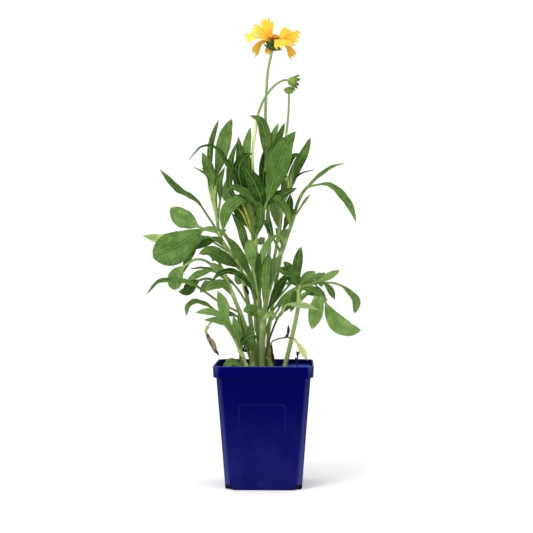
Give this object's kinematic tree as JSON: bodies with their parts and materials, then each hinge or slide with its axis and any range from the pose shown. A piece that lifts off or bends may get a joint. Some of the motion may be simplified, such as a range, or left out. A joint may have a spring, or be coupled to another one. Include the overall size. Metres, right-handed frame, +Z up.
{
  "type": "coreopsis plant in a square pot",
  "caption": "Perennial with toothed yellow ray flowers on long bare stalks above tufts of lance-shaped leaves, growing in a tapered square nursery pot.",
  "frame": {"origin": "centre of the pot's flat base, on the surface it stands on", "axes": "+Z up along the pot and the plant, -Y out of the pot's front, which has the recessed panel, +X to the right seen from the front"},
  "size_m": [0.2295, 0.1436, 0.4885],
  "materials": {
    "pot": "satin",
    "soil": "matte",
    "foliage": "satin",
    "rays": "matte",
    "disc": "matte",
    "withered": "matte",
    "yellowed": "matte",
    "dead": "matte"
  },
  "bodies": {
    "root": {"pot": "pot", "soil": "soil", "shoot_middle": "foliage", "shoot_bloom": "foliage", "shoot_small_bud": "foliage", "shoot_right_tall": "foliage", "shoot_right_low": "foliage", "shoot_left_low": "foliage", "shoot_left_tall": "foliage", "shoot_left_young": "foliage", "shoot_rear_left": "foliage", "shoot_rear_right": "foliage", "shoot_bronze": "foliage", "withered_leaf": "withered", "yellow_leaf": "yellowed", "dead_stalk": "dead", "dead_twig": "dead", "bloom_rays": "rays", "bloom_disc": "disc"}
  },
  "joints": []
}
